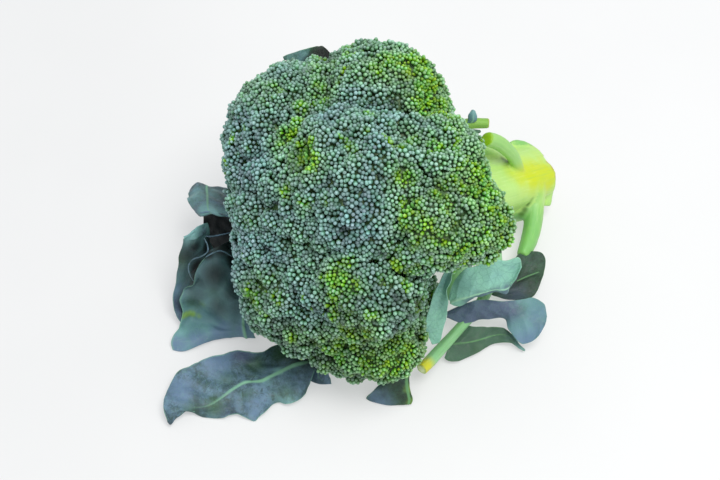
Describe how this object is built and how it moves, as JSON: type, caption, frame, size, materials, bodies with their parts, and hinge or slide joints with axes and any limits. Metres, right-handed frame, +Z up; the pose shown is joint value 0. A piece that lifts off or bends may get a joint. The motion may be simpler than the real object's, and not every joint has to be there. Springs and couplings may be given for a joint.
{
  "type": "broccoli head",
  "caption": "Fresh broccoli head lying on its side, with a domed crown of tight green buds, a thick cut stalk and loose curled leaves.",
  "frame": {"origin": "on the surface it lies on, below the centre of the bounding box", "axes": "+Z up; the crown faces -Y and a little up; the stalk's cut end points to +Y"},
  "size_m": [0.149, 0.2172, 0.1282],
  "materials": {
    "buds": "matt, waxy blue-green buds",
    "stalk": "satin, pale yellow-green skin",
    "leaf_stalk": "satin, pale green skin",
    "leaf": "waxy blue-green leaf",
    "pale_leaf": "matt pale leaf underside"
  },
  "bodies": {
    "root": {"floret_back_left": "buds", "floret_bottom": "buds", "floret_bottom_right": "buds", "floret_centre": "buds", "floret_left": "buds", "floret_low_back": "buds", "floret_low_centre": "buds", "floret_low_left": "buds", "floret_recess": "buds", "floret_right": "buds", "floret_right_low": "buds", "floret_rim_left": "buds", "floret_rim_right": "buds", "floret_rim_top": "buds", "floret_rim_top_left": "buds", "floret_top": "buds", "floret_under": "buds", "floret_upper_left": "buds", "leaf_front": "leaf", "leaf_front_bit": "leaf", "leaf_front_right": "leaf", "leaf_left": "leaf", "leaf_lower": "leaf", "leaf_right_long": "leaf", "leaf_right_low": "leaf", "leaf_right_pale": "pale_leaf", "leaf_right_upright": "pale_leaf", "leaf_stalk_cut": "leaf_stalk", "leaf_stalk_right": "leaf_stalk", "leaf_top": "leaf", "shoot_upper": "leaf_stalk", "stalk": "stalk"}
  },
  "joints": []
}
